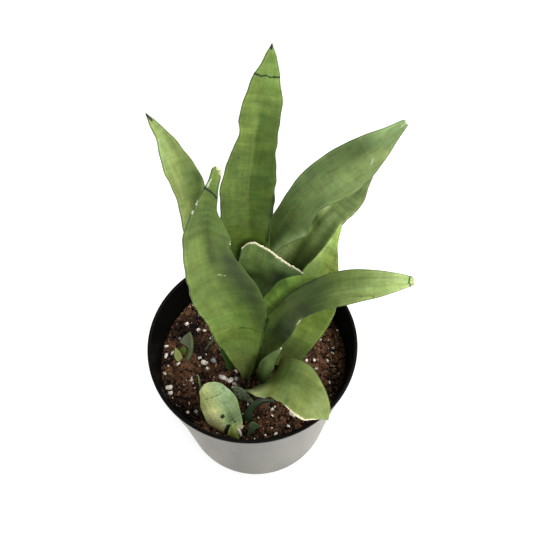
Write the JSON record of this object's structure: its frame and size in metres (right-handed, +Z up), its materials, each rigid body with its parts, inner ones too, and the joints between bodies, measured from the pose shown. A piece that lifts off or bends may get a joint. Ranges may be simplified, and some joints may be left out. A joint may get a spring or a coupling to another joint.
{
  "type": "potted snake plant",
  "caption": "Young broad-leaved snake plant with stiff grey-green blades and small side shoots, growing in dark potting soil in a round plastic nursery pot.",
  "frame": {"origin": "centre of the pot's flat underside, where it rests", "axes": "+Z up along the pot's axis, -Y the front from which the plant was seen, +X to the right from there"},
  "size_m": [0.1701, 0.152, 0.3411],
  "materials": {
    "pot_plastic": "satin",
    "potting_soil": "matte",
    "leaf_green": "satin",
    "leaf_deep_green": "satin",
    "leaf_silver_green": "satin",
    "leaf_yellow_green": "satin",
    "leaf_dry": "matte"
  },
  "bodies": {
    "root": {"pot": "pot_plastic", "soil": "potting_soil", "leaf_tall": "leaf_green", "leaf_left_front": "leaf_green", "leaf_left_back": "leaf_green", "leaf_right_upper": "leaf_green", "leaf_right_inner": "leaf_green", "leaf_right_back": "leaf_green", "leaf_right_long": "leaf_green", "leaf_centre_fold": "leaf_green", "leaf_cut_centre": "leaf_green", "leaf_front_right": "leaf_green", "basal_scale": "leaf_deep_green", "pup_front_leaf": "leaf_silver_green", "pup_front_spear": "leaf_silver_green", "pup_front_stub": "leaf_yellow_green", "pup_left_hood": "leaf_deep_green", "pup_left_spear": "leaf_green", "pup_left_scale": "leaf_yellow_green", "pup_shade_arch": "leaf_deep_green", "pup_shade_lobe": "leaf_deep_green", "dry_scale": "leaf_dry", "dry_curl": "leaf_silver_green"}
  },
  "joints": []
}
